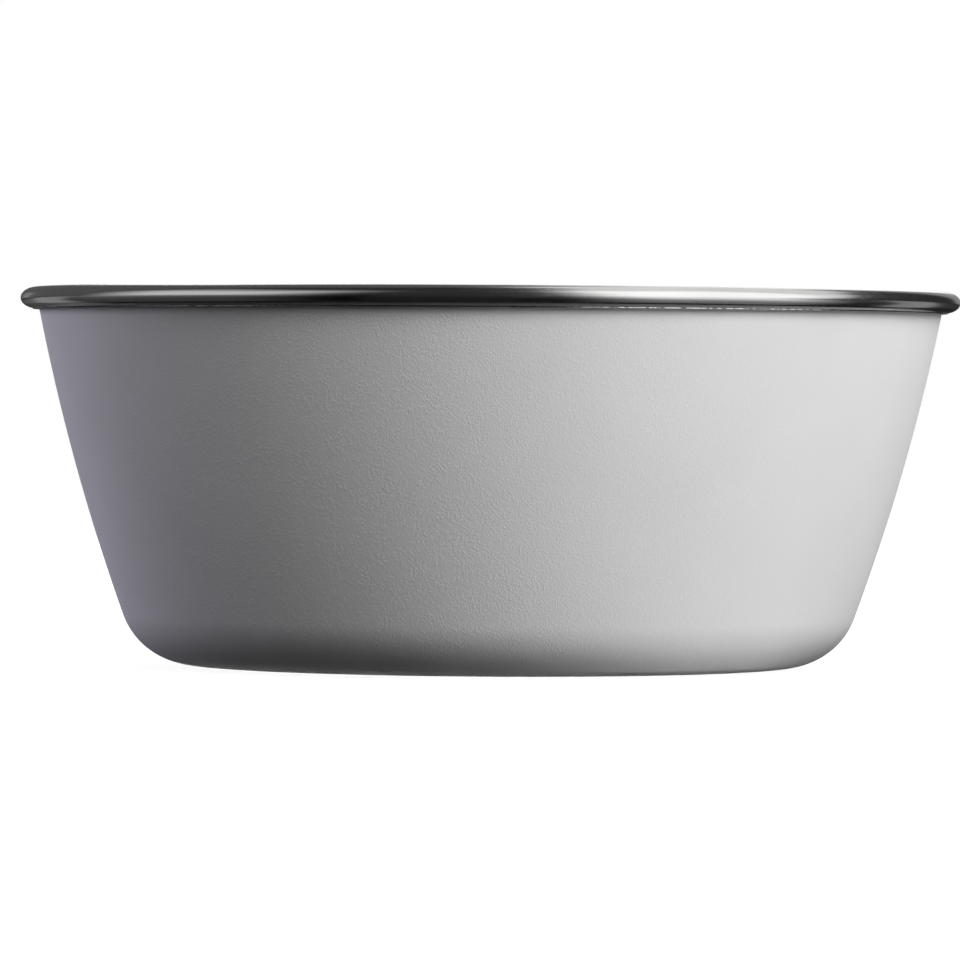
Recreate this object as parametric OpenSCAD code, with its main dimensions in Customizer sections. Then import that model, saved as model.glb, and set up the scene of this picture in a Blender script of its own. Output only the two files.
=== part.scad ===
// Vacuum-insulated steel bowl with a press-in lid.
// All sizes are in millimetres. +Z is up, and the origin is on the table under the middle of the base.
// Outlines that are turned about Z are lists of [radius, height].

/* [Bowl] */
// Diameter over the rolled rim
rim_d = 175; // [160:1:260]
// Height from the table to the crown of the rim
bowl_h = 70.3; // [60:0.1:100]
// Lean of the outer wall from upright, just under the rim, in degrees
wall_lean = 11.3; // [6:0.1:15]
// Radius of the long curve that the wall follows upwards
wall_arc_r = 393; // [300:1:900]
// Radius of the curve from the outer wall into the base
corner_r = 14; // [8:0.5:20]
// Radius of the curve from the inner wall into the floor
floor_corner_r = 12; // [6:0.5:18]
// Thickness of the steel sheet of both walls
sheet_t = 0.6; // [0.4:0.05:0.9]
// Clear width of the vacuum between the two walls
vacuum_gap = 3.2; // [2.4:0.1:5]
// Clear height of the vacuum under the floor
floor_gap = 4; // [3:0.1:8]

/* [Rim] */
// Height of the rolled rim
roll_h = 4.1; // [3:0.1:6]
// How far the rolled rim stands out past the wall under it
roll_overhang = 3.5; // [2.5:0.1:5]
// Length of the flat lip under the roll
lip_flat = 0.2; // [0.1:0.05:0.8]
// Gap between the lip's edge and the outer wall
lip_gap = 0.1; // [0.05:0.05:0.3]
// Gap between the outer wall's top edge and the rim over it, which the weld fills
weld_gap = 0.05; // [0.05:0.01:0.2]
// Radius of the shoulder from the inner wall up onto the rim
shoulder_r = 2; // [1.2:0.1:2.6]

/* [Base] */
// Diameter of the recess that holds the non-slip pad
recess_d = 80; // [64:1:96]
// Depth of that recess
recess_depth = 1.8; // [1.6:0.1:3]
// How far the pad stands down past the steel base
pad_proud = 0.3; // [0.1:0.05:1]
// Gap around the pad in its recess
pad_gap = 0.15; // [0.05:0.05:0.5]
// Number of tread grooves in the pad
tread_count = 4; // [1:1:6]
// Width of a tread groove
tread_w = 1.6; // [0.8:0.1:3]
// Depth of a tread groove
tread_depth = 0.6; // [0.3:0.1:0.8]

/* [Vacuum parts] */
// Diameter of the port that the air is drawn out through
port_d = 2.4; // [1:0.1:4]
// Diameter of the glass bead that seals the port
seal_d = 7; // [5:0.5:10]
// Thickness of that bead below the sheet
seal_t = 0.7; // [0.4:0.1:0.9]
// Radius of the bead's lower edge
seal_edge_r = 0.3; // [0.1:0.05:0.35]
// Diameter of the getter pellet
getter_d = 10; // [6:0.5:14]
// Height of the getter pellet
getter_h = 1.6; // [0.8:0.1:2.2]
// Distance of the getter from the middle of the base
getter_offset = 22; // [14:1:28]
// Thickness of the radiation foil
foil_t = 0.15; // [0.1:0.05:0.4]
// Gap between the foil and the inner wall
foil_gap = 0.1; // [0.05:0.05:0.3]
// How far below the rim the foil stops
foil_drop = 8; // [4:0.5:20]

/* [Lid] */
// Drop from the crown of the rim to the top of the lid
lid_drop = 2.6; // [1:0.1:6]
// Height of the lid from its underside to its top
lid_h = 11; // [10:0.5:16]
// Gap between the lid's side and the bowl, at the lid's underside
lid_clear = 2; // [1.2:0.1:4]
// Wall thickness of the lid's two mouldings
lid_t = 1.6; // [1.2:0.1:2]
// Radius of the lid's outer edges
lid_edge_r = 1; // [0.4:0.1:1.2]
// Height of the groove that holds the gasket
groove_h = 4.6; // [4:0.1:6]
// Depth of that groove
groove_depth = 2; // [1:0.1:3]
// Gap above and below the gasket in its groove
gasket_fit = 0.15; // [0.05:0.05:0.3]
// Gap left between the gasket's fins and the bowl
gasket_gap = 0.3; // [0.1:0.05:0.6]
// Number of fins on the gasket
fin_count = 2; // [1:1:3]
// Thickness of a fin
fin_t = 0.8; // [0.5:0.1:1]
// How far a fin climbs from its root to its tip
fin_rise = 0.9; // [0.4:0.1:1.5]
// Height of the cover's locating ring inside the pan
spigot_h = 2; // [1:0.1:3]
// Gap between that ring and the pan
spigot_gap = 0.15; // [0.05:0.05:0.4]
// Gap on each side of the foam between the lid's walls
foam_gap = 0.3; // [0.1:0.1:2]

/* [Lid grip] */
// Diameter of the dish at the lid's top
dish_d = 70; // [56:1:84]
// How much narrower the dish's floor is, on each side
dish_draft = 2.5; // [1:0.5:4]
// Radius of the curve from the dish's wall into its floor
dish_fillet_r = 2.5; // [1:0.1:4]
// Diameter of the bail's wire
bail_wire_d = 3.2; // [2:0.1:4]
// How far the bail's ends stop short of the dish's width, on each side
bail_end_gap = 4; // [3.6:0.1:8]
// Gap for fingers from the bail's bar to the dish's edge
finger_gap = 13.4; // [10:0.1:16]
// Radius of the bail's bends at the middle of the wire
bail_bend_r = 4; // [2.5:0.5:6]
// Distance of the bail's hinge in front of the middle of the lid
bail_setback = 8; // [2:0.5:9]
// Thickness of an ear that carries the bail
ear_t = 4; // [2.5:0.1:5]
// Wall of an ear around its bore
ear_wall = 1.2; // [0.8:0.1:2]
// How much narrower an ear's foot is than its round head, on each side
ear_waist = 0.2; // [0.1:0.05:0.6]
// Radial running clearance of the bail in its ears
bail_clear = 0.08; // [0.02:0.01:0.1]
// Diameter of a post that the folded bail rests over
post_d = 4; // [2:0.5:6]
// Gap between a post and the folded bail
post_gap = 0.3; // [0.1:0.05:0.6]

/* [Vent] */
// Diameter of the vent hole
vent_d = 4; // [3:0.1:5]
// Width of the flap
flap_w = 13; // [10:0.5:18]
// Length of the flap from its hinge
flap_l = 16; // [14:0.5:17]
// Thickness of the flap
flap_t = 2.2; // [1.4:0.1:2.6]
// Distance from the flap's hinge to the vent hole
vent_reach = 8.5; // [7.5:0.5:10]
// Depth of the pocket that the flap lies in
pocket_depth = 3.8; // [3.4:0.1:5]
// Gap past the flap's end for a fingernail
nail_gap = 2.6; // [1.5:0.1:3.6]
// Gap around the flap in its pocket
pocket_gap = 0.4; // [0.2:0.05:0.8]
// Diameter of the flap's hinge pin
pin_d = 1.8; // [1.2:0.1:2]
// Radial running clearance of the flap on its pin
pin_clear = 0.05; // [0.02:0.01:0.1]
// Wall of the flap's hinge barrel around its pin
barrel_wall = 0.65; // [0.5:0.05:0.7]
// How far the pin's ends go into the pocket's walls
pin_bite = 1.1; // [0.6:0.1:1.1]
// Diameter of the vent plug's sealing disc
plug_d = 7; // [6:0.1:8]
// Length of the vent plug's stem
stem_l = 1.8; // [1:0.1:2.2]
// Radial gap between the stem's root and the vent hole
stem_clear = 0.4; // [0.3:0.05:0.8]
// How much narrower the stem's tip is, on each side
stem_taper = 0.5; // [0.2:0.05:0.8]
// Gap between the closed plug and the pocket's floor
plug_gap = 0.1; // [0.05:0.05:0.3]

/* [Hidden] */
$fn = 96;

// Steps in each rounded stretch of an outline
CORNER_STEPS = 14;
WALL_STEPS = 14;
ROLL_STEPS = 24;
EDGE_STEPS = 5;

// A cut reaches this far past the face it opens
cut = 1;
// Parts that are fixed in a hole have this radial gap
fixed_fit = 0.02;
// Radius of a small moulded edge
small_edge = 0.3;

coat_colour = [0.80, 0.80, 0.80];
steel_colour = [0.75, 0.75, 0.76];
foil_colour = [0.85, 0.86, 0.88];
lid_colour = [0.70, 0.71, 0.72];
rubber_colour = [0.25, 0.26, 0.28];

// Heights of the base and the floor
foot_z = pad_proud;
recess_z = foot_z + recess_depth;
floor_z = recess_z + sheet_t + floor_gap + sheet_t;
recess_r = recess_d / 2;

// The wall's long arc: every layer of the wall is on a circle about this centre
wall_total = 2 * sheet_t + vacuum_gap;
wall_top = [rim_d / 2 - roll_overhang, bowl_h - roll_h];
arc_c = wall_top + wall_arc_r * [-cos(wall_lean), sin(wall_lean)];

// Heights and radii of the lid
lid_top_z = bowl_h - lid_drop;
lid_base_z = lid_top_z - lid_h;
seam_z = lid_top_z - lid_t;
lid_r = wall_r(lid_base_z, wall_total) - lid_clear;
pan_in_r = lid_r - groove_depth - lid_t;
spigot_r = pan_in_r - spigot_gap;
groove_z = (lid_base_z + seam_z - groove_h) / 2;
dish_r = dish_d / 2;
dish_floor_z = lid_base_z + 2 * lid_t;

// The bail and its ears
wire_r = bail_wire_d / 2;
bail_bore_r = wire_r + bail_clear;
ear_r = bail_bore_r + ear_wall;
ear_top_gap = 0.2;
bail_y = -bail_setback;
bail_z = lid_top_z - ear_top_gap - ear_r;
ear_side_gap = 0.5;
stub_end_x = dish_r - bail_end_gap;
ear_x = stub_end_x - ear_side_gap - ear_t;
bail_w = 2 * (ear_x - ear_side_gap - bail_bend_r);
bail_l = dish_r - finger_gap - wire_r + bail_setback;

// The vent, its pocket and its flap
barrel_r = pin_d / 2 + pin_clear + barrel_wall;
hinge_swing_gap = 1.4;
pocket_l = barrel_r + hinge_swing_gap + flap_l + nail_gap;
pocket_y = dish_r + lid_t;
pocket_w = flap_w + 2 * pocket_gap;
pocket_z = lid_top_z - pocket_depth;
pocket_corner_r = 1.5;
flap_top_gap = 0.15;
flap_top_z = lid_top_z - flap_top_gap;
flap_z = flap_top_z - flap_t;
hinge_y = pocket_y + barrel_r + hinge_swing_gap;
hinge_z = flap_top_z - barrel_r;
vent_y = hinge_y + vent_reach;
chimney_r = vent_d / 2 + lid_t;

// Radius at height z of the wall's face that lies depth inside the outer face
function wall_r(z, depth) = arc_c[0] + sqrt(pow(wall_arc_r - depth, 2) - pow(arc_c[1] - z, 2));

// Angle about the arc's centre at which that face reaches height z
function wall_a(z, depth) = asin((z - arc_c[1]) / (wall_arc_r - depth));

// Points along a circular or elliptical arc from angle a to angle b
function arc(c, rx, ry, a, b, steps) =
    [for (i = [0 : steps]) let(t = a + (b - a) * i / steps) c + [rx * cos(t), ry * sin(t)]];

function reverse(list) = [for (i = [len(list) - 1 : -1 : 0]) list[i]];

function unit(v) = v / norm(v);

// One face of a bowl: from the edge of its flat floor at height z, round the corner and up the wall to angle end_a
function bowl_curve(depth, z, corner, end_a) =
    let(
        c_z = z + corner,
        c_r = arc_c[0] + sqrt(pow(wall_arc_r - depth - corner, 2) - pow(arc_c[1] - c_z, 2)),
        turn_a = atan2(c_z - arc_c[1], c_r - arc_c[0]),
        wall = wall_arc_r - depth
    )
    concat(
        arc([c_r, c_z], corner, corner, -90, turn_a, CORNER_STEPS),
        [for (i = [1 : WALL_STEPS])
            let(a = turn_a + (end_a - turn_a) * i / WALL_STEPS) arc_c + wall * [cos(a), sin(a)]]
    );

// The rounded corner at v between the neighbours p and q
function round_corner(p, v, q, r) =
    let(
        u = unit(p - v),
        w = unit(q - v),
        half = acos(u * w) / 2,
        c = v + unit(u + w) * r / sin(half),
        from = v + u * r / tan(half) - c,
        to = v + w * r / tan(half) - c,
        a = atan2(from[1], from[0]),
        b = atan2(to[1], to[0]),
        sweep = (b - a + 900) % 360 - 180
    )
    arc(c, r, r, a, a + sweep, EDGE_STEPS);

function flat(corner) = [corner[0], corner[1]];

// Closed outline through corners [x, y, radius], each rounded to its own radius
function rounded(corners) =
    let(n = len(corners))
    [for (i = [0 : n - 1])
        each corners[i][2] == 0
            ? [flat(corners[i])]
            : round_corner(flat(corners[(i + n - 1) % n]), flat(corners[i]),
                           flat(corners[(i + 1) % n]), corners[i][2])];

// Rectangle with round corners, centred across x, from y = 0 to y = l
module slot_outline(w, l, r) {
    translate([-w / 2 + r, 0]) square([w - 2 * r, l]);
    translate([-w / 2, r]) square([w, l - 2 * r]);
    for (x = [-1, 1], y = [r, l - r]) translate([x * (w / 2 - r), y]) circle(r);
}

// Cylinder along X, from x0 to x1
module rod_x(r, x0, x1) {
    translate([x0, 0, 0]) rotate([0, 90, 0]) cylinder(r = r, h = x1 - x0);
}

// Powder-coated outer wall and base, with the recess for the pad and the port
module outer_shell() {
    top_z = bowl_h - sheet_t - weld_gap;
    color(coat_colour)
    rotate_extrude()
    polygon(concat(
        [[port_d / 2, recess_z], [recess_r, recess_z], [recess_r, foot_z]],
        bowl_curve(0, foot_z, corner_r, wall_a(top_z, 0)),
        reverse(bowl_curve(sheet_t, foot_z + sheet_t, corner_r - sheet_t, wall_a(top_z, sheet_t))),
        [[recess_r + sheet_t, foot_z + sheet_t],
         [recess_r + sheet_t, recess_z + sheet_t],
         [port_d / 2, recess_z + sheet_t]]
    ));
}

// Inner wall and floor, whose upper edge is rolled out over the outer wall to make the rim
module inner_bowl() {
    back = wall_total - sheet_t;
    shoulder_z = bowl_h - shoulder_r;
    shoulder_c = [arc_c[0] + sqrt(pow(wall_arc_r - wall_total + shoulder_r, 2) - pow(arc_c[1] - shoulder_z, 2)),
                  shoulder_z];
    shoulder_a = atan2(shoulder_c[1] - arc_c[1], shoulder_c[0] - arc_c[0]);
    lip_z = bowl_h - roll_h;
    lip_r = wall_r(lip_z + sheet_t, 0) + lip_gap;
    roll_c = [lip_r + lip_flat, bowl_h - roll_h / 2];
    nose = rim_d / 2 - roll_c[0];
    shoulder_back_r = shoulder_r - sheet_t;
    color(steel_colour)
    rotate_extrude()
    polygon(concat(
        [[0, floor_z]],
        bowl_curve(wall_total, floor_z, floor_corner_r, shoulder_a),
        arc(shoulder_c, shoulder_r, shoulder_r, 180 + shoulder_a, 90, EDGE_STEPS),
        arc(roll_c, nose, roll_h / 2, 90, -90, ROLL_STEPS),
        [[lip_r, lip_z], [lip_r, lip_z + sheet_t]],
        arc(roll_c, nose - sheet_t, roll_h / 2 - sheet_t, -90, 90, ROLL_STEPS),
        arc(shoulder_c, shoulder_back_r, shoulder_back_r, 90, 180 + shoulder_a, EDGE_STEPS),
        reverse(bowl_curve(back, floor_z - sheet_t, floor_corner_r + sheet_t, shoulder_a)),
        [[0, floor_z - sheet_t]]
    ));
}

// Foil wrapped round the inner bowl to turn back radiant heat
module radiation_foil() {
    face = wall_total - sheet_t - foil_gap;
    face_z = floor_z - sheet_t - foil_gap;
    corner = floor_corner_r + sheet_t + foil_gap;
    top_z = bowl_h - roll_h - foil_drop;
    color(foil_colour)
    rotate_extrude()
    polygon(concat(
        [[0, face_z - foil_t]],
        bowl_curve(face - foil_t, face_z - foil_t, corner + foil_t, wall_a(top_z, face - foil_t)),
        reverse(bowl_curve(face, face_z, corner, wall_a(top_z, face))),
        [[0, face_z]]
    ));
}

// Pellet that soaks up gas left in the vacuum
module getter() {
    color("dimgray")
    translate([getter_offset, 0, recess_z + sheet_t])
    cylinder(d = getter_d, h = getter_h);
}

// Glass bead and stem that close the port
module vacuum_seal() {
    stem_r = port_d / 2 - fixed_fit;
    color("slategray")
    rotate_extrude()
    polygon(rounded([
        [0, recess_z - seal_t, 0],
        [seal_d / 2, recess_z - seal_t, seal_edge_r],
        [seal_d / 2, recess_z, 0],
        [stem_r, recess_z, 0],
        [stem_r, recess_z + sheet_t, 0],
        [0, recess_z + sheet_t, 0],
    ]));
}

// Non-slip pad in the base recess, with ring grooves below and a pocket over the glass bead
module base_pad() {
    pad_r = recess_r - pad_gap;
    pocket = seal_t + pad_gap;
    pocket_r = seal_d / 2 + 2 * pad_gap;
    tread_pitch = pad_r / (tread_count + 1);
    color(rubber_colour)
    rotate_extrude()
    difference() {
        polygon(rounded([[0, 0, 0], [pad_r, 0, small_edge], [pad_r, recess_z, 0], [0, recess_z, 0]]));
        for (i = [1 : tread_count])
            translate([i * tread_pitch, -cut]) square([tread_w, tread_depth + cut]);
        translate([0, recess_z - pocket]) square([pocket_r, pocket + cut]);
    }
}

// Upper moulding of the lid: top plate, dish, bail ears, rest posts and vent pocket
module lid_cover() {
    color(lid_colour)
    difference() {
        union() {
            rotate_extrude()
            polygon(rounded([
                [0, dish_floor_z, 0],
                [dish_r - dish_draft, dish_floor_z, dish_fillet_r],
                [dish_r, lid_top_z, lid_edge_r],
                [lid_r, lid_top_z, lid_edge_r],
                [lid_r, seam_z, 0],
                [spigot_r, seam_z, 0],
                [spigot_r, seam_z - spigot_h, small_edge],
                [spigot_r - lid_t, seam_z - spigot_h, small_edge],
                [spigot_r - lid_t, seam_z, 0],
                [dish_r + lid_t, seam_z, 0],
                [dish_r - dish_draft + lid_t, dish_floor_z - lid_t, lid_edge_r],
                [0, dish_floor_z - lid_t, 0],
            ]));
            bail_seats();
            vent_pocket(lid_t, pocket_z - lid_t, seam_z + lid_t / 2);
        }
        translate([0, bail_y, bail_z]) rod_x(bail_bore_r, -stub_end_x - cut, stub_end_x + cut);
        vent_pocket(0, pocket_z, lid_top_z + cut);
        translate([0, vent_y, pocket_z - lid_t - cut]) cylinder(d = vent_d, h = lid_t + 2 * cut);
        translate([0, hinge_y, hinge_z])
            rod_x(pin_d / 2 + fixed_fit, -pocket_w / 2 - pin_bite, pocket_w / 2 + pin_bite);
    }
}

// Two bored ears for the bail and two posts under its arms, standing on the dish's floor
module bail_seats() {
    post_top_z = bail_z - wire_r - post_gap;
    post_y = bail_y + bail_l / 2;
    for (side = [-1, 1]) {
        translate([side * (ear_x + ear_t / 2), bail_y, bail_z]) {
            rod_x(ear_r, -ear_t / 2, ear_t / 2);
            translate([-ear_t / 2, ear_waist - ear_r, dish_floor_z - bail_z - lid_t / 2])
                cube([ear_t, 2 * (ear_r - ear_waist), bail_z - dish_floor_z + lid_t / 2]);
        }
        translate([side * bail_w / 2, post_y, dish_floor_z - lid_t / 2])
            cylinder(d = post_d, h = post_top_z - dish_floor_z + lid_t / 2);
    }
}

// The vent pocket's outline, grown by wall on every side, from z0 to z1
module vent_pocket(wall, z0, z1) {
    translate([0, pocket_y - wall, z0])
    linear_extrude(z1 - z0)
    slot_outline(pocket_w + 2 * wall, pocket_l + 2 * wall, pocket_corner_r + wall);
}

// Lower moulding of the lid, with the gasket's groove and the vent's chimney
module lid_pan() {
    groove_r = lid_r - groove_depth;
    color(lid_colour)
    difference() {
        union() {
            rotate_extrude()
            polygon(rounded([
                [0, lid_base_z, 0],
                [lid_r, lid_base_z, lid_edge_r],
                [lid_r, groove_z, 0],
                [groove_r, groove_z, 0],
                [groove_r, groove_z + groove_h, 0],
                [lid_r, groove_z + groove_h, 0],
                [lid_r, seam_z, 0],
                [pan_in_r, seam_z, 0],
                [pan_in_r, lid_base_z + lid_t, small_edge],
                [0, lid_base_z + lid_t, 0],
            ]));
            translate([0, vent_y, lid_base_z]) cylinder(r = chimney_r, h = pocket_z - lid_t - lid_base_z);
        }
        translate([0, vent_y, lid_base_z - cut]) cylinder(d = vent_d, h = lid_h);
    }
}

// Foam ring between the lid's two mouldings, open where the vent goes through
module insulation_ring() {
    inner_r = dish_r + lid_t + foam_gap;
    outer_r = spigot_r - lid_t - foam_gap;
    vent_gap = pocket_w / 2 + lid_t + foam_gap;
    color("ivory")
    difference() {
        translate([0, 0, lid_base_z + lid_t])
        rotate_extrude()
        translate([inner_r, 0]) square([outer_r - inner_r, seam_z - lid_base_z - lid_t]);
        translate([-vent_gap, 0, lid_base_z]) cube([2 * vent_gap, lid_r, lid_h]);
    }
}

// Silicone ring in the pan's groove, with fins that lie against the inner wall
module lid_gasket() {
    root_r = lid_r - groove_depth;
    body_r = lid_r + small_edge;
    body_h = groove_h - 2 * gasket_fit;
    body_z = groove_z + gasket_fit;
    fin_pitch = body_h / fin_count;
    color(rubber_colour)
    rotate_extrude() {
        translate([root_r, body_z]) square([body_r - root_r, body_h]);
        for (i = [0 : fin_count - 1]) {
            z = body_z + i * fin_pitch + (fin_pitch - fin_t) / 2;
            tip_z = z + fin_rise;
            polygon([
                [lid_r, z],
                [wall_r(tip_z, wall_total) - gasket_gap, tip_z],
                [wall_r(tip_z + fin_t, wall_total) - gasket_gap, tip_z + fin_t],
                [lid_r, z + fin_t],
            ]);
        }
    }
}

// Steel pin that the vent flap turns on
module vent_pin() {
    half = pocket_w / 2 + pin_bite;
    color(steel_colour)
    translate([0, hinge_y, hinge_z]) rod_x(pin_d / 2, -half, half);
}

// Quarter bend of the bail's wire about the origin, from angle a
module bail_bend(a) {
    rotate([0, 0, a]) rotate_extrude(angle = 90) translate([bail_bend_r, 0]) circle(wire_r);
}

// Wire handle, folded flat: two stubs in the ears, two arms and a bar
module lift_bail() {
    arm_x = bail_w / 2;
    arm_l = bail_l - 2 * bail_bend_r;
    color(steel_colour)
    translate([0, bail_y, bail_z])
    union() {
        for (side = [0, 1]) mirror([side, 0, 0]) {
            rod_x(wire_r, arm_x + bail_bend_r, stub_end_x);
            translate([arm_x + bail_bend_r, bail_bend_r, 0]) bail_bend(180);
            translate([arm_x, bail_bend_r, 0]) rotate([-90, 0, 0]) cylinder(r = wire_r, h = arm_l);
            translate([arm_x - bail_bend_r, bail_bend_r + arm_l, 0]) bail_bend(0);
        }
        translate([0, bail_l, 0]) rod_x(wire_r, -arm_x + bail_bend_r, arm_x - bail_bend_r);
    }
}

// Flap over the vent: a plate with a hinge barrel at its inner end
module vent_flap() {
    color(lid_colour)
    difference() {
        union() {
            translate([0, hinge_y, flap_z])
            linear_extrude(flap_t)
            difference() {
                translate([0, -pocket_corner_r]) slot_outline(flap_w, flap_l + pocket_corner_r, pocket_corner_r);
                translate([-flap_w, -flap_w]) square([2 * flap_w, flap_w]);
            }
            translate([0, hinge_y, hinge_z]) rod_x(barrel_r, -flap_w / 2, flap_w / 2);
        }
        translate([0, hinge_y, hinge_z]) rod_x(pin_d / 2 + pin_clear, -flap_w, flap_w);
    }
}

// Silicone plug under the flap, with a tapered stem that stands in the vent hole
module vent_plug() {
    disc_z = pocket_z + plug_gap;
    stem_r = vent_d / 2 - stem_clear;
    stem_tip_r = stem_r - stem_taper;
    color(rubber_colour)
    translate([0, vent_y, 0])
    rotate_extrude()
    polygon([
        [0, disc_z - stem_l],
        [stem_tip_r, disc_z - stem_l],
        [stem_r, disc_z],
        [plug_d / 2, disc_z],
        [plug_d / 2, flap_z],
        [0, flap_z],
    ]);
}

outer_shell();
inner_bowl();
radiation_foil();
getter();
vacuum_seal();
base_pad();
lid_cover();
lid_pan();
insulation_ring();
lid_gasket();
vent_pin();
lift_bail();
vent_flap();
vent_plug();
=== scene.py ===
"""Looks of the vacuum-insulated bowl and its press-in lid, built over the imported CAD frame."""

import math

import bmesh
import bpy
from mathutils import Matrix, Quaternion, Vector


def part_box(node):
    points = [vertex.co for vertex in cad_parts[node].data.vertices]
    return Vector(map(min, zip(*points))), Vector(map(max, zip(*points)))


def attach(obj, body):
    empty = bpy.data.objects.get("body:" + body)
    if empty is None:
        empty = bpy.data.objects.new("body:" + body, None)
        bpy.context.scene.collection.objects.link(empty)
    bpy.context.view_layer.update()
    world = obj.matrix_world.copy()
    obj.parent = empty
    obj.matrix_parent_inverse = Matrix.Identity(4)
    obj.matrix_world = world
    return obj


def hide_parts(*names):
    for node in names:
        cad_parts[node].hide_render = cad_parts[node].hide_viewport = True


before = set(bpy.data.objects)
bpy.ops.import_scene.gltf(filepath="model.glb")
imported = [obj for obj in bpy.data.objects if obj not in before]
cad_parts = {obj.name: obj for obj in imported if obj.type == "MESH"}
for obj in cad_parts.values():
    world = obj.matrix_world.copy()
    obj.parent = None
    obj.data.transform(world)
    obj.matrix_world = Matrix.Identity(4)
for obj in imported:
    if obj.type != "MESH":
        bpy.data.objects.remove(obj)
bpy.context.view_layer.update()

MM = 0.001


def box_mm(node):
    """Lowest and highest corner of a CAD node, in millimetres."""
    low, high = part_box(node)
    return low / MM, high / MM


# Sizes of the bowl, in millimetres
RIM_D = 175.0
WALL_LEAN = 11.3
WALL_ARC_R = 393.0
CORNER_R = 14.0
FLOOR_CORNER_R = 12.0
SHEET_T = 0.6
VACUUM_GAP = 3.2
ROLL_H = 4.1
ROLL_OVERHANG = 3.5
LIP_FLAT = 0.2
LIP_GAP = 0.1
LIP_EDGE_R = 0.12
LIP_LAND = 0.07
LIP_LAND_ANGLE = 75.0
WELD_GAP = 0.05
SHOULDER_R = 2.0
RECESS_R = 40.0
RECESS_EDGE_R = 0.5
PORT_R = 1.2
SEAL_R = 3.5
SEAL_T = 0.7
PAD_GAP = 0.15
PAD_EDGE_R = 0.3
TREAD_COUNT = 4
TREAD_W = 1.6
TREAD_DEPTH = 0.6
TREAD_EDGE_R = 0.2

# Sizes of the lid, in millimetres
LID_CLEAR = 2.0
LID_T = 1.6
LID_EDGE_R = 1.0
SEAM_EDGE_R = 0.12
GROOVE_H = 4.6
GROOVE_DEPTH = 2.0
GASKET_FIT = 0.15
GASKET_GAP = 0.3
GASKET_PROUD = 0.3
FIN_COUNT = 2
FIN_T = 0.8
FIN_RISE = 0.9
FIN_EDGE_R = 0.3
SPIGOT_H = 2.0
SPIGOT_GAP = 0.15
DISH_R = 35.0
DISH_DRAFT = 2.5
DISH_FILLET_R = 2.5
SMALL_EDGE_R = 0.3
BAIL_BEND_R = 4.0
BAIL_END_EDGE = 0.3
BAIL_CLEAR = 0.08
EAR_T = 4.0
EAR_WALL = 1.2
EAR_WAIST = 0.2
EAR_SIDE_GAP = 0.5
EAR_EDGE_R = 0.5
FOOT_FILLET_R = 0.8
POST_R = 2.0
POST_GAP = 0.3
VENT_R = 2.0
HINGE_SWING_GAP = 1.4
NAIL_GAP = 2.6
POCKET_GAP = 0.4
POCKET_DEPTH = 3.8
POCKET_CORNER_R = 1.5
POCKET_EDGE_R = 0.45
POCKET_FILLET_R = 0.4
PIN_CLEAR = 0.05
PIN_EDGE = 0.15
BARREL_EDGE_R = 0.2
FLAP_EDGE_R = 0.45
FLAP_UNDER_R = 0.2
RIB_COUNT = 3
RIB_L = 7.0
RIB_W = 0.8
RIB_H = 0.1
RIB_PITCH = 1.5
RIB_END_GAP = 1.4
STEM_L = 1.8
STEM_CLEAR = 0.4
STEM_TAPER = 0.5
PLUG_EDGE_R = 0.2

# How far cutters stand out of what they cut, in millimetres
CUT_STEP = 0.01
CUT_PAST = 1.0

# Steps in round stretches
TURN_STEPS = 256
SMALL_TURN_STEPS = 64
CORNER_STEPS = 24
WALL_STEPS = 24
ROLL_STEPS = 48
EDGE_STEPS = 6
WIRE_SIDES = 40
BEND_STEPS = 16
POLE = 1e-6
SHARP_ANGLE = math.radians(32)

# Heights and places that the frame gives, in millimetres
bowl_low, bowl_high = box_mm("inner_bowl")
shell_low = box_mm("outer_shell")[0]
pad_high = box_mm("base_pad")[1]
cover_high = box_mm("lid_cover")[1]
pan_low, pan_high = box_mm("lid_pan")
bail_low, bail_high = box_mm("lift_bail")
flap_low, flap_high = box_mm("vent_flap")
plug_low, plug_high = box_mm("vent_plug")
pin_low, pin_high = box_mm("vent_pin")

bowl_h = bowl_high.z
floor_z = bowl_low.z + SHEET_T
foot_z = shell_low.z
recess_z = pad_high.z
lip_z = bowl_h - ROLL_H
wall_total = 2 * SHEET_T + VACUUM_GAP
arc_x = RIM_D / 2 - ROLL_OVERHANG - WALL_ARC_R * math.cos(math.radians(WALL_LEAN))
arc_z = lip_z + WALL_ARC_R * math.sin(math.radians(WALL_LEAN))

lid_top_z = cover_high.z
lid_base_z = pan_low.z
seam_z = pan_high.z
dish_floor_z = lid_base_z + 2 * LID_T

wire_r = (bail_high.z - bail_low.z) / 2
bail_z = (bail_high.z + bail_low.z) / 2
bail_y = bail_low.y + wire_r
bar_y = bail_high.y - wire_r
stub_end_x = bail_high.x
ear_x = stub_end_x - EAR_SIDE_GAP - EAR_T
arm_x = ear_x - EAR_SIDE_GAP - BAIL_BEND_R
ear_r = wire_r + BAIL_CLEAR + EAR_WALL

hinge_y = (pin_low.y + pin_high.y) / 2
hinge_z = (pin_low.z + pin_high.z) / 2
pin_r = (pin_high.z - pin_low.z) / 2
pin_end_x = pin_high.x
flap_w = flap_high.x - flap_low.x
flap_l = flap_high.y - hinge_y
flap_top_z = flap_high.z
flap_z = plug_high.z
barrel_r = flap_top_z - hinge_z
vent_y = (plug_low.y + plug_high.y) / 2
vent_place = Matrix.Translation((0, vent_y, 0))
plug_r = (plug_high.y - plug_low.y) / 2
pocket_y = hinge_y - barrel_r - HINGE_SWING_GAP
pocket_l = hinge_y + flap_l + NAIL_GAP - pocket_y
pocket_w = flap_w + 2 * POCKET_GAP
pocket_z = lid_top_z - POCKET_DEPTH


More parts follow.
